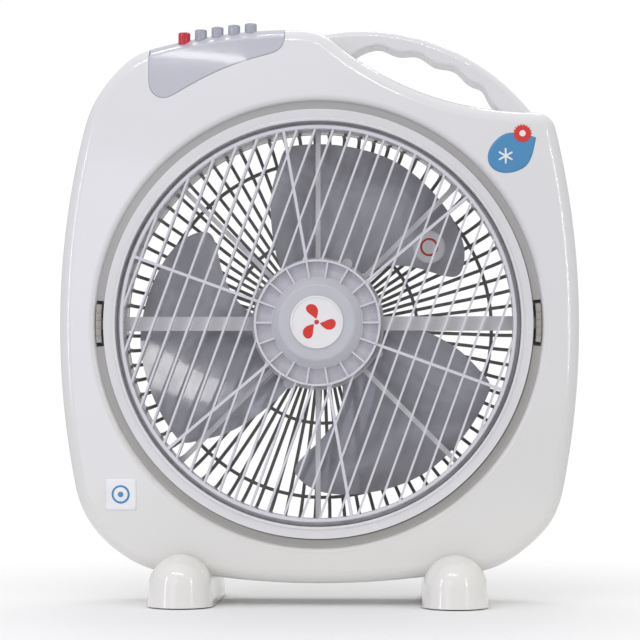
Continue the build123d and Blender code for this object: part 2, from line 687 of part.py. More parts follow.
def motor_cover_front():
    shell = turned(
        (8, 7), (14, 7), (15, 8), (15, 12), (44, 12), (MOTOR_R, 15), (MOTOR_R, 22), (45, 22), (45, 15.5),
        (43, 14.5), (13, 14.5), (8, 14.5),
    )
    vent = sector(22, 38, 11, 16, 0, 7)
    body = shell.fuse(*cover_ears(14, 22))
    cuts = [turn(vent, 30 * i) for i in range(12)]
    cuts += [turn(peg(49.5, 0, 1.6, 10, 40), a) for a in BOLT_ANGLES]
    return on_hub(body.cut(*cuts))


def motor_cover_rear():
    shell = turned(
        (8, 43), (15, 43), (15, 49), (43, 49), (45, 47.5), (45, 36), (MOTOR_R, 36), (MOTOR_R, 48),
        (44, MOTOR_BACK_Y), (0, MOTOR_BACK_Y), (0, 49), (8, 49),
    )
    seats = [turn(peg(34, 0, 4.5, 44.5, 50), a) for a in MOUNT_ANGLES]
    body = shell.fuse(*cover_ears(36, 46), *seats)
    cuts = [turn(peg(49.5, 0, 1.6, 20, 44), a) for a in BOLT_ANGLES]
    cuts += [turn(peg(34, 0, 1.5, 45.5, 60), a) for a in MOUNT_ANGLES]
    vent = sector(19, 27, 48, 53, 0, 9)
    cuts += [turn(vent, 45 + 30 * i) for i in range(12)]
    return on_hub(body.cut(*cuts))


def stator_core():
    """Laminated ring with slots for the windings."""
    ring = tube(26.6, MOTOR_R, 22, 36)
    slot = block(10, 20, 4, 35, 29, 0)
    return on_hub(ring.cut(*[turn(slot, 22.5 * i) for i in range(16)]))


def windings():
    """Copper end turns in front of and behind the stator, joined through its slots."""
    front = tube(29.5, 42, 16, 22)
    back = tube(29.5, 42, 36, 42)
    front = fillet([e for e in front.edges() if e.center(CenterOf.BOUNDING_BOX).Y < 17], 2)
    back = fillet([e for e in back.edges() if e.center(CenterOf.BOUNDING_BOX).Y > 41], 2)
    bar = block(9.6, 14, 3.6, 35, 29, 0)
    return on_hub(front.fuse(back, *[turn(bar, 22.5 * i) for i in range(16)]))


def rotor_core():
    """Laminated rotor on the shaft, with end rings."""
    core = tube(SHAFT_R, 26, 22, 36)
    rings = [tube(12, 24, 19, 22), tube(12, 24, 36, 39)]
    return on_hub(core.fuse(*rings))


def bush(y_from, y_to):
    """Plain bearing for the motor shaft."""
    return on_hub(tube(SHAFT_R + RUNNING_GAP, 8, y_from, y_to))


def thrust_washers():
    return on_hub(Compound([tube(SHAFT_R, 7, 15.2, 16.2), tube(SHAFT_R, 7, 41.4, 42.4)]))


def capacitor():
    """Run capacitor on the inside of the rear casing."""
    case = block(38, 18, 26, -84, REAR_Y - WALL - 9, 490)
    case = fillet(case.edges().filter_by(Axis.Z), 3)
    tabs = [block(4.8, 0.8, 8, -84 + s * 9, REAR_Y - WALL - 9, 473.5) for s in (-1, 1)]
    return case.fuse(*tabs)


# ---------------------------------------------------------------- rear grille
def grille_bar():
    """One radial bar: flat across the back, then curved forward to the outer ring."""
    back = GRILLE_BACK_Y
    bend = 22.0
    deep = 3.5
    flat_end = GRILLE_R - 3 - bend
    outside = [Line((48, back), (flat_end, back))]
    outside.append(RadiusArc((flat_end, back), (flat_end + bend, back - bend), bend))
    outside.append(Line((flat_end + bend, back - bend), (flat_end + bend, 16)))
    outside.append(Line((flat_end + bend, 16), (flat_end + bend - deep, 16)))
    outside.append(Line((flat_end + bend - deep, 16), (flat_end + bend - deep, back - bend)))
    outside.append(RadiusArc((flat_end + bend - deep, back - bend), (flat_end, back - deep), -(bend - deep)))
    outside.append(Line((flat_end, back - deep), (48, back - deep)))
    outside.append(Line((48, back - deep), (48, back)))
    return extrude(make_face(outside), BAR_W / 2, both=True)


def rear_grille():
    """Dished guard at the back, which also carries the motor on its middle disc."""
    disc = tube(0, 52, GRILLE_BACK_Y - 3.5, GRILLE_BACK_Y)
    rim = tube(SHROUD_R, GRILLE_R + 0.8, 14, 18)
    rings = [tube(r - 1.6, r + 1.6, GRILLE_BACK_Y - 3.5, GRILLE_BACK_Y) for r in GRILLE_RINGS]
    posts = [turn(peg(34, 0, 5.5, MOTOR_BACK_Y, GRILLE_BACK_Y), a) for a in MOUNT_ANGLES]
    bosses = [turn(peg(189, 0, 2.8, 14, 26), a) for a in GRILLE_SCREW_ANGLES]
    bar = grille_bar()
    bars = [turn(bar, 360 / GRILLE_BARS * (i + 0.5)) for i in range(GRILLE_BARS)]
    grille = disc.fuse(rim, *rings, *posts, *bosses, *bars)
    cuts = [turn(peg(34, 0, 1.5, 50, 64), a) for a in MOUNT_ANGLES]
    cuts += [turn(peg(34, 0, 3.6, 59, 64), a) for a in MOUNT_ANGLES]
    cuts += [turn(peg(189, 0, 1.2, 10, 24), a) for a in GRILLE_SCREW_ANGLES]
    return on_hub(grille.cut(*cuts))


# ---------------------------------------------------------------- feet
def foot_block(inset):
    """A long domed foot lying front to back."""
    radius = FOOT_R - inset
    centre_z = 19.0
    straight = 2 * (FOOT_HALF_LENGTH - FOOT_R)
    half_disc = Circle(radius) - Pos(0, -radius) * Rectangle(2 * radius, 2 * radius)
    barrel = prism(Pos(0, centre_z) * half_disc, -straight / 2, straight / 2)
    quarter = Plane.XZ * (Circle(radius) & Pos(radius, radius) * Rectangle(2 * radius, 2 * radius))
    dome = revolve(quarter, Axis.Z, 180)
    ends = [Pos(0, straight / 2, centre_z) * dome, Pos(0, -straight / 2, centre_z) * Rot(0, 0, 180) * dome]
    plan = Rot(0, 0, 90) * SlotCenterToCenter(straight, 2 * radius)
    flare = extrude(Pos(0, 0, centre_z) * plan, -(centre_z - PAD_H), taper=-4)
    if inset:
        flare = extrude(Pos(0, 0, centre_z) * plan, -centre_z, taper=-4)
    return barrel.fuse(*ends, flare)


def foot(x):
    outside = foot_block(0)
    shell = outside - foot_block(3)
    posts = [Pos(0, y, 8) * extrude(Circle(6.5), 40) for y in FOOT_SCREW_YS]
    seats = [Pos(0, y, 2) * extrude(Circle(12.5), 3) for y in PAD_YS]
    webs = [block(56, 3, 8, 0, y, 12) for y in FOOT_SCREW_YS]
    webs += [block(56, 3, 14, 0, y, 9) for y in PAD_YS]
    inner = [p & outside for p in posts + seats + webs]
    body = shell.fuse(*inner)
    bores = [Pos(0, y, 0) * extrude(Circle(1.8), 50) for y in FOOT_SCREW_YS]
    under = [Pos(0, y, -1) * extrude(Circle(12.5), 3) for y in PAD_YS]
    placed = Pos(x, 0, 0) * body.cut(*bores, *under)
    return placed - front_body(0) - rear_body(0)


def foot_pads():
    pads = []
    for x in (-FOOT_X, FOOT_X):
        for y in PAD_YS:
            pad = Pos(x, y, 0) * extrude(Circle(11), 2)
            pads.append(fillet(pad.edges().sort_by(Axis.Z)[0], 0.5))
    return Compound(pads)


# ---------------------------------------------------------------- fasteners
def housing_screws():
    return Compound([screw(x, z, 12, -22, 1.6, 3.6, 2.2) for x, z in post_points()])


def motor_bolts():
    bolts = [turn(screw(49.5, 0, 14, 43, 1.6, 3.2, 2), a) for a in BOLT_ANGLES]
    return on_hub(Compound(bolts))


def motor_mount_screws():
    screws = [turn(screw(34, 0, 59, 46.5, 1.5, 3.4, 2), a) for a in MOUNT_ANGLES]
    return on_hub(Compound(screws))


def spider_screws():
    screws = [turn(screw(191, 0, SPIDER_BACK_Y, -48, 1.2, 2.2, 1.6), a) for a in SPIDER_SCREW_ANGLES]
    return on_hub(Compound(screws))


def louvre_motor_screws():
    screws = [turn(screw(30, 0, -47.2, -43, 1.4, 2.8, 1.8), a) for a in LOUVRE_SCREW_ANGLES]
    return on_hub(Compound(screws))


def grille_screws():
    screws = [turn(screw(189, 0, 11, 22, 1.2, 2.2, 1.6), a) for a in GRILLE_SCREW_ANGLES]
    return on_hub(Compound(screws))


def bracket_screws():
    return Compound([screw(x, z, BRACKET_Y + 1.2, -34, 1.4, 3, 1.8) for x, z in BRACKET_SCREWS])


def handle_screws():
    return Compound([screw(x, z, 6, -9, 1.6, 3.2, 2) for x, z in HANDLE_SCREWS])


def foot_screws():
    """Four upright screws from below the feet into the casings."""
    upright = Rot(90, 0, 0) * screw(0, 0, 8, 36, 1.8, 4, 2.4)
    return Compound([Pos(x, y, 0) * upright for x in (-FOOT_X, FOOT_X) for y in FOOT_SCREW_YS])


# ---------------------------------------------------------------- build
def build_all():
    parts = {
        "front_housing": front_housing(),
        "rear_housing": rear_housing(),
        "rear_grille": rear_grille(),
        "carry_handle": carry_handle(),
        "control_panel": control_panel(),
        "switch_body": switch_body(),
        "switch_bracket": switch_bracket(),
        "front_ring": front_ring(),
        "ring_latch_right": ring_latch(0),
        "ring_latch_left": ring_latch(180),
        "spider": spider(),
        "louvre_motor": louvre_motor(),
        "louvre_shaft": louvre_shaft(),
        "louvre_wheel": louvre_wheel(),
        "hub_cap": hub_cap(),
        "hub_disc": hub_disc(),
        "fan_rotor": fan_rotor(),
        "blade_nut": blade_nut(),
        "motor_shaft": motor_shaft(),
        "motor_cover_front": motor_cover_front(),
        "motor_cover_rear": motor_cover_rear(),
        "stator_core": stator_core(),
        "windings": windings(),
        "rotor_core": rotor_core(),
        "bush_front": bush(8, 14.5),
        "bush_rear": bush(43, 48.8),
        "thrust_washers": thrust_washers(),
        "capacitor": capacitor(),
        "cord_gland": cord_gland(),
        "foot_left": foot(-FOOT_X),
        "foot_right": foot(FOOT_X),
        "foot_pads": foot_pads(),
        "housing_screws": housing_screws(),
        "motor_bolts": motor_bolts(),
        "motor_mount_screws": motor_mount_screws(),
        "spider_screws": spider_screws(),
        "louvre_motor_screws": louvre_motor_screws(),
        "grille_screws": grille_screws(),
        "bracket_screws": bracket_screws(),
        "handle_screws": handle_screws(),
        "foot_screws": foot_screws(),
    }
    for number, name in enumerate(KEY_NAMES):
        parts[f"key_{name}"] = key(number)
        parts[f"key_spring_{name}"] = key_spring(number)
    return parts


os.makedirs("parts", exist_ok=True)
for part_name, part_shape in build_all().items():
    save(part_name, part_shape)
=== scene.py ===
import json
from math import cos, pi, radians, sin

import bmesh
import bpy
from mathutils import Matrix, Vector
from mathutils.bvhtree import BVHTree


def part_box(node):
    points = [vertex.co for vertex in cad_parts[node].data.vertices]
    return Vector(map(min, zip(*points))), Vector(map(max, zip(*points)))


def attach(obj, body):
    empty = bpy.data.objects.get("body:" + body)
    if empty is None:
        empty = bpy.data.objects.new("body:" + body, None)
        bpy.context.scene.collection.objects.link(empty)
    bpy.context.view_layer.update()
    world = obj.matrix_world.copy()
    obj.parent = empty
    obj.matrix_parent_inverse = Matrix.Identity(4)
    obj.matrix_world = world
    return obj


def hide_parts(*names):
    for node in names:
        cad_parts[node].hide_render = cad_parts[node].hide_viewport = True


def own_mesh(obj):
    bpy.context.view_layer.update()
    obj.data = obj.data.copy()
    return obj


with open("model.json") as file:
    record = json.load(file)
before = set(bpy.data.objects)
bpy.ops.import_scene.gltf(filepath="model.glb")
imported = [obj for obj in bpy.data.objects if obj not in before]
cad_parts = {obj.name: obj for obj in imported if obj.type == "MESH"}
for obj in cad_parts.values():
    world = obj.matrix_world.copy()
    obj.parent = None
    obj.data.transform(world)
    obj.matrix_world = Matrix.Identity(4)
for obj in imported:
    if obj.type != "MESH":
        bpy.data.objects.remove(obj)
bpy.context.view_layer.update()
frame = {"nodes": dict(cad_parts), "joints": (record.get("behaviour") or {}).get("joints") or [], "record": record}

NODES = frame["nodes"]
HUB = sum(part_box("hub_disc"), Vector()) / 2
CHANNEL_R = 0.2055      # radius of the channel's outside wall
MM = 0.001

# The Mix node has one set of sockets per data type. These are its colour sockets.
MIX_A = 6
MIX_B = 7
MIX_RESULT = 2

# ---------------------------------------------------------------- studio values
FLOOR_HALF = 8.0
FLOOR_SOLID = 0.22      # the floor starts to fade into the backdrop at this radius
FLOOR_GONE = 0.75       # and has faded away at this one
BACKDROP = 1.02         # brightness of the plain backdrop
ROOM_FRONT = 0.54       # light from the front of the room
ROOM_BACK = 0.62        # light from the back of the room
ROOM_TOP = 0.45         # what the ceiling adds
LENS = 111.0
SENSOR = 36.0
CAMERA_PLACE = (0.080, -1.862, 0.172)
CAMERA_AIM = (0.0025, -0.062, 0.2615)
LAVENDER = (0.86, 0.84, 1.0)
DEEP_LAVENDER = (0.74, 0.72, 1.0)
# name: (place, target, (width, height), power, colour)
LAMPS = {
    "right_strip": ((1.5, -1.6, 0.7), (0.15, 0, 0.27), (0.05, 1.2), 3.6, (1, 1, 1)),
    "left_strip": ((-1.6, -1.3, 0.6), (-0.15, 0, 0.27), (0.07, 1.2), 3.8, LAVENDER),
    "left_sheen": ((-0.95, -2.0, 0.35), (-0.2, -0.06, 0.27), (0.60, 1.5), 3.0, DEEP_LAVENDER),
    "window": ((-0.52, -1.95, 0.66), (-0.11, 0, 0.19), (0.12, 0.16), 0.45, (1, 1, 1)),
    "panel_strip": ((-0.62, -1.86, 1.51), (-0.11, -0.05, 0.51), (0.44, 0.03), 0.30, (1, 1, 1)),
    "front_top_strip": ((-0.3, -1.5, 1.7), (0, -0.06, 0.5), (1.5, 0.06), 5.2, (1, 1, 1)),
    "back_top_strip": ((0.0, 1.2, 2.0), (0, -0.04, 0.5), (1.5, 0.07), 5.5, (1, 1, 1)),
}


# ---------------------------------------------------------------- node helpers
class Shader:
    """A small builder for one node material."""

    def __init__(self, name):
        self.material = bpy.data.materials.new(name)
        self.material.use_nodes = True
        self.tree = self.material.node_tree
        self.tree.nodes.clear()
        self.out = self.node("ShaderNodeOutputMaterial")
        self.bsdf = self.node("ShaderNodeBsdfPrincipled")
        self.link(self.bsdf, "BSDF", self.out, "Surface")
        self.coords = self.node("ShaderNodeTexCoord")

    def node(self, kind, **values):
        made = self.tree.nodes.new(kind)
        for key, value in values.items():
            setattr(made, key, value)
        return made

    def link(self, source, output, target, socket):
        self.tree.links.new(source.outputs[output], target.inputs[socket])

    def set(self, **values):
        """Set the main shader's own sockets. An underscore stands for a space."""
        for key, value in values.items():
            self.bsdf.inputs[key.replace("_", " ")].default_value = value

    def noise(self, scale, detail=3.0, roughness=0.5):
        made = self.node("ShaderNodeTexNoise")
        made.inputs["Scale"].default_value = scale
        made.inputs["Detail"].default_value = detail
        made.inputs["Roughness"].default_value = roughness
        self.link(self.coords, "Object", made, "Vector")
        return made

    def ramp(self, source, output, stops):
        made = self.node("ShaderNodeValToRGB")
        self.link(source, output, made, "Fac")
        elements = made.color_ramp.elements
        while len(elements) < len(stops):
            elements.new(0.5)
        for element, (position, color) in zip(elements, stops):
            element.position = position
            element.color = (*color, 1.0)
        return made

    def mottle(self, color, spread, scale):
        """Base colour that drifts a little over the surface."""
        drift = self.noise(scale, 4.0, 0.6)
        low = tuple(max(c * (1 - spread), 0.0) for c in color)
        high = tuple(min(c * (1 + spread), 1.0) for c in color)
        shades = self.ramp(drift, "Fac", [(0.35, low), (0.65, high)])
        self.link(shades, "Color", self.bsdf, "Base Color")

    def rough(self, middle, spread, scale):
        """Roughness that drifts a little, as handled plastic does."""
        drift = self.noise(scale, 5.0, 0.65)
        band = map_range(self.tree, 0.3, 0.7, middle - spread, middle + spread)
        self.link(drift, "Fac", band, "Value")
        self.link(band, "Result", self.bsdf, "Roughness")

    def relief(self, source, height, strength=1.0):
        """Raise the surface by a texture. Height is in metres."""
        made = self.node("ShaderNodeBump")
        made.inputs["Strength"].default_value = strength
        made.inputs["Distance"].default_value = height
        self.link(source, "Fac", made, "Height")
        self.link(made, "Normal", self.bsdf, "Normal")
        return made

    def bump(self, scale, height, strength):
        """Fine surface relief of the moulded or cast skin."""
        return self.relief(self.noise(scale, 2.0, 0.5), height, strength)

    def soften(self, relief, radius):
        """Rounded-over look of sharp moulded edges."""
        rounding = self.node("ShaderNodeBevel", samples=4)
        rounding.inputs["Radius"].default_value = radius
        self.link(rounding, "Normal", relief, "Normal")

    def multiply(self, one, other):
        """The product of two colours."""
        mix = self.node("ShaderNodeMix", data_type="RGBA", blend_type="MULTIPLY")
        mix.inputs["Factor"].default_value = 1.0
        self.tree.links.new(one, mix.inputs[MIX_A])
        self.tree.links.new(other, mix.inputs[MIX_B])
        return mix.outputs[MIX_RESULT]


def map_range(tree, from_min, from_max, to_min, to_max, interpolation="LINEAR"):
    """A node that maps one span of values onto another."""
    made = tree.nodes.new("ShaderNodeMapRange")
    made.interpolation_type = interpolation
    made.inputs["From Min"].default_value = from_min
    made.inputs["From Max"].default_value = from_max
    made.inputs["To Min"].default_value = to_min
    made.inputs["To Max"].default_value = to_max
    return made


# ---------------------------------------------------------------- materials
def moulded(name, color, roughness, coat=0.0, spread=0.02, peel=0.00006, peel_scale=220.0, edge=0.0):
    """Moulded plastic: faint orange peel, a slight drift in tone and in gloss."""
    shader = Shader(name)
    shader.mottle(color, spread, 14.0)
    shader.rough(roughness, roughness * 0.18, 30.0)
    relief = shader.bump(peel_scale, peel, 0.5)
    if edge:
        shader.soften(relief, edge)
    shader.set(IOR=1.5)
    if coat:
        shader.set(Coat_Weight=coat, Coat_Roughness=0.04)
    return shader.material


def casing_plastic(name, low):
    """Glossy off-white ABS with painted shade: darker towards the floor, down to tone low, and darker in the
    channel.
    """
    shader = Shader(name)
    place = shader.node("ShaderNodeSeparateXYZ")
    shader.link(shader.coords, "Object", place, "Vector")
    # Painted shade: the tone darkens from z 0.30 down to low near the floor.
    height = map_range(shader.tree, 0.02, 0.30, 0.0, 1.0)
    shader.link(place, "Z", height, "Value")
    tone = shader.ramp(height, "Result", [(0.0, low), (1.0, (0.79, 0.785, 0.80))])
    from_hub = shader.node("ShaderNodeVectorMath", operation="MULTIPLY_ADD")
    from_hub.inputs[1].default_value = (1.0, 0.0, 1.0)
    from_hub.inputs[2].default_value = (-HUB.x, 0.0, -HUB.z)
    shader.link(shader.coords, "Object", from_hub, 0)
    reach = shader.node("ShaderNodeVectorMath", operation="LENGTH")
    shader.link(from_hub, "Vector", reach, "Vector")
    # Painted shade in the channel: everything inside the channel's outside wall is darkened.
    channel_shade = shader.ramp(reach, "Value", [
        (CHANNEL_R - 1 * MM, (0.60, 0.59, 0.57)),
        (CHANNEL_R + 2 * MM, (1.0, 1.0, 1.0)),
    ])
    drift = shader.noise(9.0, 5.0, 0.6)
    veil = shader.ramp(drift, "Fac", [(0.35, (0.985, 0.985, 0.985)), (0.65, (1.0, 1.0, 1.0))])
    # The tone with both painted shades, then a faint random veil.
    shaded_tone = shader.multiply(tone.outputs["Color"], channel_shade.outputs["Color"])
    color = shader.multiply(shaded_tone, veil.outputs["Color"])
    shader.tree.links.new(color, shader.bsdf.inputs["Base Color"])
    shader.rough(0.20, 0.03, 22.0)
    shader.bump(160.0, 0.00003, 0.4)
    shader.set(IOR=1.52, Coat_Weight=0.7, Coat_Roughness=0.09)
    return shader.material


def smoky_plastic():
    """Smoky plastic of the blades, glossy, with wide flow marks and a wavy skin."""
    shader = Shader("blade_plastic")
    flow = shader.noise(11.0, 3.0, 0.45)
    flow.inputs["Distortion"].default_value = 1.6
    shades = shader.ramp(flow, "Fac", [
        (0.30, (0.31, 0.315, 0.335)),
        (0.50, (0.41, 0.41, 0.45)),
        (0.70, (0.55, 0.555, 0.60)),
    ])
    shader.link(shades, "Color", shader.bsdf, "Base Color")
    shader.relief(shader.noise(16.0, 2.0, 0.4), 0.004, 0.55)
    shader.rough(0.13, 0.03, 20.0)
    shader.set(IOR=1.53, Coat_Weight=0.8, Coat_Roughness=0.04)
    return shader.material


def metal(name, color, roughness, scale=400.0, height=0.00002):
    """Plain metal with a fine grain."""
    shader = Shader(name)
    shader.mottle(color, 0.06, 60.0)
    shader.rough(roughness, roughness * 0.25, 90.0)
    shader.bump(scale, height, 0.5)
    shader.set(Metallic=1.0)
    return shader.material


def lined(shader, scale, distortion, stops):
    """Colour a shader in fine bands along the fan's axis, and return the bands."""
    bands = shader.node("ShaderNodeTexWave", wave_type="BANDS", bands_direction="Y")
    bands.inputs["Scale"].default_value = scale
    bands.inputs["Distortion"].default_value = distortion
    shader.link(shader.coords, "Object", bands, "Vector")
    shades = shader.ramp(bands, "Fac", stops)
    shader.link(shades, "Color", shader.bsdf, "Base Color")
    return bands


def laminated_steel():
    """Edge of a stack of thin steel plates, lined along the shaft."""
    shader = Shader("laminated_steel")
    lined(shader, 320.0, 0.0, [(0.2, (0.10, 0.10, 0.10)), (0.8, (0.36, 0.35, 0.34))])
    shader.set(Metallic=0.9, Roughness=0.45)
    return shader.material


def copper_wire():
    """Wound enamelled wire, seen as fine ridges."""
    shader = Shader("copper_wire")
    rings = lined(shader, 420.0, 3.0, [(0.1, (0.30, 0.10, 0.03)), (0.9, (0.72, 0.33, 0.14))])
    shader.relief(rings, 0.0003)
    shader.set(Metallic=0.7, Roughness=0.35)
    return shader.material


def rubber():
    """Matt black rubber with a dusty bloom."""
    shader = Shader("rubber_black")
    shader.mottle((0.035, 0.035, 0.036), 0.35, 45.0)
    shader.rough(0.72, 0.1, 60.0)
    shader.bump(700.0, 0.00008, 0.7)
    return shader.material


def paper(name, color):
    """Printed vinyl: a slight gloss and a faint wrinkle."""
    shader = Shader(name)
    shader.mottle(color, 0.03, 40.0)
    shader.rough(0.35, 0.05, 50.0)
    shader.bump(90.0, 0.00008, 0.4)
    return shader.material


# By the record's material slot.
MATERIALS = {
    # The casing's low tone is the bottom of its painted shade near the floor.
    "casing": casing_plastic("casing_plastic", (0.75, 0.74, 0.71)),
    "panel": moulded("panel_plastic", (0.54, 0.545, 0.61), 0.10, 0.9, edge=0.0022),
    "key_grey": moulded("key_plastic_grey", (0.42, 0.43, 0.49), 0.22, 0.4, edge=0.0008),
    "key_red": moulded("key_plastic_red", (0.62, 0.015, 0.03), 0.22, 0.4, edge=0.0008),
    "ring": moulded("ring_plastic", (0.74, 0.735, 0.75), 0.24, 0.3),
    "louvre": moulded("louvre_plastic", (0.68, 0.675, 0.725), 0.28, 0.2),
    "cap": moulded("cap_plastic", (0.55, 0.55, 0.60), 0.20, 0.5, edge=0.0015),
    "disc": moulded("disc_plastic", (0.84, 0.84, 0.85), 0.22, 0.3),
    "grille": moulded("grille_plastic", (0.30, 0.305, 0.295), 0.40),
    "blade": smoky_plastic(),
    "dark": moulded("dark_plastic", (0.03, 0.03, 0.033), 0.45),
    "steel": metal("zinc_steel", (0.62, 0.62, 0.63), 0.32),
    "laminations": laminated_steel(),
    "copper": copper_wire(),
    "bronze": metal("sintered_bronze", (0.50, 0.31, 0.14), 0.42, 900.0, 0.00004),
    "motor_paint": moulded("motor_enamel", (0.22, 0.23, 0.24), 0.38, 0.1,
                           spread=0.04, peel=0.00008, peel_scale=500.0),
    "rubber": rubber(),
}
# Nodes that differ from the rest of their slot.
# Greyish beige latches: partly their own tone, partly painted shade of the recess they sit in.
LATCH = moulded("latch_plastic", (0.40, 0.385, 0.35), 0.34, 0.1, edge=0.0006)
# The feet get a lighter copy of the casing plastic, with less of its painted shade near the floor.
FOOT = casing_plastic("foot_plastic", (0.81, 0.80, 0.77))
OWN_MATERIALS = {
    "ring_latch_left": LATCH,
    "ring_latch_right": LATCH,
    "foot_left": FOOT,
    "foot_right": FOOT,
}
BLUE = paper("sticker_blue", (0.07, 0.27, 0.52))
RED = paper("sticker_red", (0.72, 0.035, 0.02))
WHITE = paper("sticker_white", (0.86, 0.87, 0.88))


def dress(node, slot):
    """Give a CAD node its material."""
    slots = NODES[node].data.materials
    slots.clear()
    slots.append(OWN_MATERIALS.get(node, MATERIALS[slot]))


for entry in frame["record"]["subparts"]:
    dress(entry["node"], entry["material_slot"])


# ---------------------------------------------------------------- key springs
def key_coil(joint):
    """The coil under one key, a copy of its spring fixed to the casing."""
    key = joint["child"].removeprefix("key_")
    node = f"key_spring_{key}"
    piece = bpy.data.objects.new(f"coil_{key}", NODES[node].data.copy())
    bpy.context.scene.collection.objects.link(piece)
    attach(piece, "casing")
    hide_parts(node)
    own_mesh(piece)


for pressed in frame["joints"]:
    if pressed["child"].startswith("key_"):
        key_coil(pressed)


# ---------------------------------------------------------------- sticker outlines
def turned(cx, cz, along, across, tilt):
    """A point given along and across a tilted shape, as x and z."""
    return (cx + along * cos(tilt) - across * sin(tilt), cz + along * sin(tilt) + across * cos(tilt))


def circle(cx, cz, radius, count=48):
    angles = [2 * pi * i / count for i in range(count)]
    return [(cx + radius * cos(angle), cz + radius * sin(angle)) for angle in angles]


def starburst(cx, cz, radius, points=18, depth=0.16):
    outline = []
    for i in range(points * 2):
        r = radius * (1 - depth if i % 2 else 1.0)
        angle = pi * i / points
        outline.append((cx + r * cos(angle), cz + r * sin(angle)))
    return outline


def rounded_square(cx, cz, half, corner=0.12, per_corner=6):
    outline = []
    radius = half * corner
    inner = half - radius
    for quarter, (sx, sz) in enumerate(((1, 1), (-1, 1), (-1, -1), (1, -1))):
        for i in range(per_corner + 1):
            angle = pi / 2 * (quarter + i / per_corner)
            x = cx + sx * inner + radius * cos(angle)
            z = cz + sz * inner + radius * sin(angle)
            outline.append((x, z))
    return outline


def leaf(cx, cz, length, width, tilt, count=48):
    """A leaf outline: round at one end, pointed at the other."""
    outline = []
    for i in range(count):
        angle = 2 * pi * i / count
        along = length / 2 * cos(angle)
        across = width / 2 * sin(angle) * (1 - 0.75 * max(cos(angle), 0.0) ** 2)
        outline.append(turned(cx, cz, along, across, tilt))
    return outline


def bar_outline(cx, cz, length, width, tilt, per_end=6):
    """A slim bar with round ends."""
    outline = []
    for end in (1, -1):
        for i in range(per_end + 1):
            angle = pi * (i / per_end - 0.5)
            along = end * ((length - width) / 2 + width / 2 * cos(angle))
            across = end * width / 2 * sin(angle)
            outline.append(turned(cx, cz, along, across, tilt))
    return outline


def petals(cx, cz, inner, outer, count, turn_by, corners=24):
    """Short curved petals of a plain fan sign."""
    shapes = []
    for i in range(count):
        middle = 2 * pi * i / count + turn_by
        shape = []
        for j in range(corners):
            angle = 2 * pi * j / corners
            along = inner + (outer - inner) * (0.5 + 0.5 * cos(angle))
            swing = 0.42 * sin(angle) + 0.25 * (along - inner) / (outer - inner)
            shape.append((cx + along * cos(middle + swing), cz + along * sin(middle + swing)))
        shapes.append(shape)
    return shapes


# ---------------------------------------------------------------- stickers
TREES = {}


def surface_point(node, x, z, lift):
    """The point of a node's front surface at x and z, lifted off it."""
    if node not in TREES:
        depsgraph = bpy.context.evaluated_depsgraph_get()
        TREES[node] = BVHTree.FromObject(NODES[node], depsgraph)
    hit, normal, _, _ = TREES[node].ray_cast(Vector((x, -0.3, z)), Vector((0, 1, 0)))
    return hit + normal * lift if normal.y < 0 else hit - normal * lift


def sticker(name, node, outline, material, body, lift=0.12 * MM, rings=6):
    """A thin sticker laid on a node's front surface. The outline is seen whole from its centre."""
    cx = sum(p[0] for p in outline) / len(outline)
    cz = sum(p[1] for p in outline) / len(outline)
    mesh = bmesh.new()
    middle = mesh.verts.new(surface_point(node, cx, cz, lift))
    loops = []
    for ring in range(1, rings + 1):
        share = ring / rings
        loop = []
        for x, z in outline:
            point = surface_point(node, cx + (x - cx) * share, cz + (z - cz) * share, lift)
            loop.append(mesh.verts.new(point))
        loops.append(loop)
    count = len(outline)
    for i in range(count):
        j = (i + 1) % count
        mesh.faces.new((middle, loops[0][i], loops[0][j]))
        for inner, outer in zip(loops, loops[1:]):
            mesh.faces.new((inner[i], outer[i], outer[j], inner[j]))
    bmesh.ops.recalc_face_normals(mesh, faces=mesh.faces)
    data = bpy.data.meshes.new(name)
    mesh.to_mesh(data)
    mesh.free()
    data.polygons.foreach_set("use_smooth", [True] * len(data.polygons))
    data.materials.append(material)
    piece = bpy.data.objects.new(name, data)
    bpy.context.scene.collection.objects.link(piece)
    thick = piece.modifiers.new("thickness", "SOLIDIFY")
    thick.thickness = 0.08 * MM
    thick.offset = 0.0
    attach(piece, body)


def corner_sticker():
    """Blue leaf with a white snow star and a red burst, all without words."""
    on = "front_housing"
    x, z = 0.1795, 0.4165
    tilt = radians(32)
    sticker("leaf_sticker", on, leaf(x, z, 0.050, 0.036, tilt), BLUE, "casing", rings=10)
    star_x, star_z = x - 0.008 * cos(tilt), z - 0.008 * sin(tilt)
    for i in range(3):
        arm = bar_outline(star_x, star_z, 0.0150, 0.0017, radians(60 * i + 30))
        lift = (0.24 + 0.05 * i) * MM
        sticker(f"leaf_star_{i + 1}", on, arm, WHITE, "casing", lift, 3)
    x, z = 0.1885, 0.4335
    sticker("burst_sticker", on, starburst(x, z, 0.0088), RED, "casing", 0.30 * MM)
    sticker("burst_dot", on, circle(x, z, 0.0030, 24), WHITE, "casing", 0.44 * MM, 3)


def label_sticker():
    """White square label with a plain blue ring."""
    on = "front_housing"
    x, z = -0.181, 0.102
    sticker("label_sticker", on, rounded_square(x, z, 0.0148), WHITE, "casing")
    sticker("label_ring", on, circle(x, z, 0.0085), BLUE, "casing", 0.26 * MM)
    sticker("label_middle", on, circle(x, z, 0.0066), WHITE, "casing", 0.40 * MM)
    sticker("label_dot", on, circle(x, z, 0.0026, 24), BLUE, "casing", 0.54 * MM)


def hub_sign():
    """A plain red fan sign on the hub disc."""
    on = "hub_disc"
    lift = 0.10 * MM
    for i, shape in enumerate(petals(HUB.x, HUB.z, 0.0032, 0.0175, 3, radians(100))):
        sticker(f"hub_petal_{i + 1}", on, shape, RED, "louvre", lift)
    sticker("hub_dot", on, circle(HUB.x, HUB.z, 0.0022, 20), RED, "louvre", lift)


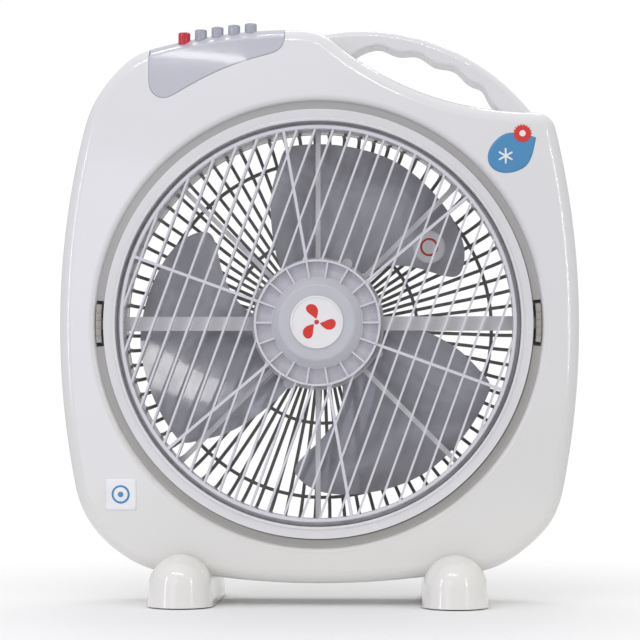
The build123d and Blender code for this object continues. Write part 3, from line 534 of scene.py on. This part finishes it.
def blade_sticker():
    """Round white sticker with a red ring on one blade."""
    on = "fan_rotor"
    x, z = HUB.x + 0.103, HUB.z + 0.074
    sticker("blade_sticker", on, circle(x, z, 0.0155), WHITE, "fan", 0.15 * MM)
    sticker("blade_ring", on, circle(x, z, 0.0085), RED, "fan", 0.29 * MM)
    sticker("blade_middle", on, circle(x, z, 0.0066), WHITE, "fan", 0.43 * MM)


corner_sticker()
label_sticker()
hub_sign()
blade_sticker()


# ---------------------------------------------------------------- studio
def studio_floor():
    """A plain pale floor that fades into the backdrop."""
    mesh = bmesh.new()
    bmesh.ops.create_grid(mesh, x_segments=4, y_segments=4, size=FLOOR_HALF)
    data = bpy.data.meshes.new("studio_floor")
    mesh.to_mesh(data)
    mesh.free()
    floor = bpy.data.objects.new("studio_floor", data)
    bpy.context.scene.collection.objects.link(floor)
    shader = Shader("floor_paint")
    shader.mottle((0.95, 0.95, 0.955), 0.004, 3.0)
    shader.set(Roughness=0.8)
    reach = shader.node("ShaderNodeVectorMath", operation="LENGTH")
    shader.link(shader.coords, "Object", reach, "Vector")
    fade = map_range(shader.tree, FLOOR_SOLID, FLOOR_GONE, 0.0, 1.0, "SMOOTHSTEP")
    shader.link(reach, "Value", fade, "Value")
    clear = shader.node("ShaderNodeBsdfTransparent")
    blend = shader.node("ShaderNodeMixShader")
    shader.link(fade, "Result", blend, "Fac")
    shader.link(shader.bsdf, "BSDF", blend, 1)
    shader.link(clear, "BSDF", blend, 2)
    shader.link(blend, "Shader", shader.out, "Surface")
    data.materials.append(shader.material)


def aim(holder, place, target):
    """Put a lamp or camera at place, turned to target."""
    holder.location = place
    holder.rotation_euler = (Vector(target) - Vector(place)).to_track_quat("-Z", "Y").to_euler()
    bpy.context.scene.collection.objects.link(holder)


def area_light(name, place, target, size, power, color):
    lamp = bpy.data.lights.new(name, "AREA")
    lamp.shape = "RECTANGLE"
    lamp.size, lamp.size_y = size
    lamp.energy = power
    lamp.color = color
    aim(bpy.data.objects.new(name, lamp), place, target)


def studio_light():
    """A pale room before a white backdrop, with soft lamps for the highlights."""
    world = bpy.data.worlds.new("studio")
    bpy.context.scene.world = world
    world.use_nodes = True
    tree = world.node_tree
    background = tree.nodes["Background"]
    background.inputs["Color"].default_value = (1.0, 1.0, 1.0, 1.0)
    direction = tree.nodes.new("ShaderNodeTexCoord")
    split = tree.nodes.new("ShaderNodeSeparateXYZ")
    level = map_range(tree, -1.0, 0.6, ROOM_FRONT, ROOM_BACK)
    ceiling = map_range(tree, 0.25, 1.0, 0.0, ROOM_TOP)
    total = tree.nodes.new("ShaderNodeMath")
    seen = tree.nodes.new("ShaderNodeLightPath")
    strength = tree.nodes.new("ShaderNodeMix")
    strength.inputs["B"].default_value = BACKDROP
    tree.links.new(direction.outputs["Generated"], split.inputs["Vector"])
    tree.links.new(split.outputs["Y"], level.inputs["Value"])
    tree.links.new(split.outputs["Z"], ceiling.inputs["Value"])
    tree.links.new(level.outputs["Result"], total.inputs[0])
    tree.links.new(ceiling.outputs["Result"], total.inputs[1])
    tree.links.new(seen.outputs["Is Camera Ray"], strength.inputs["Factor"])
    tree.links.new(total.outputs["Value"], strength.inputs["A"])
    tree.links.new(strength.outputs["Result"], background.inputs["Strength"])
    for name, values in LAMPS.items():
        area_light(name, *values)


def camera():
    lens = bpy.data.cameras.new("camera")
    lens.lens = LENS
    lens.sensor_width = SENSOR
    holder = bpy.data.objects.new("camera", lens)
    aim(holder, CAMERA_PLACE, CAMERA_AIM)
    bpy.context.scene.camera = holder


studio_floor()
studio_light()
camera()
bpy.context.scene.view_settings.view_transform = "Standard"
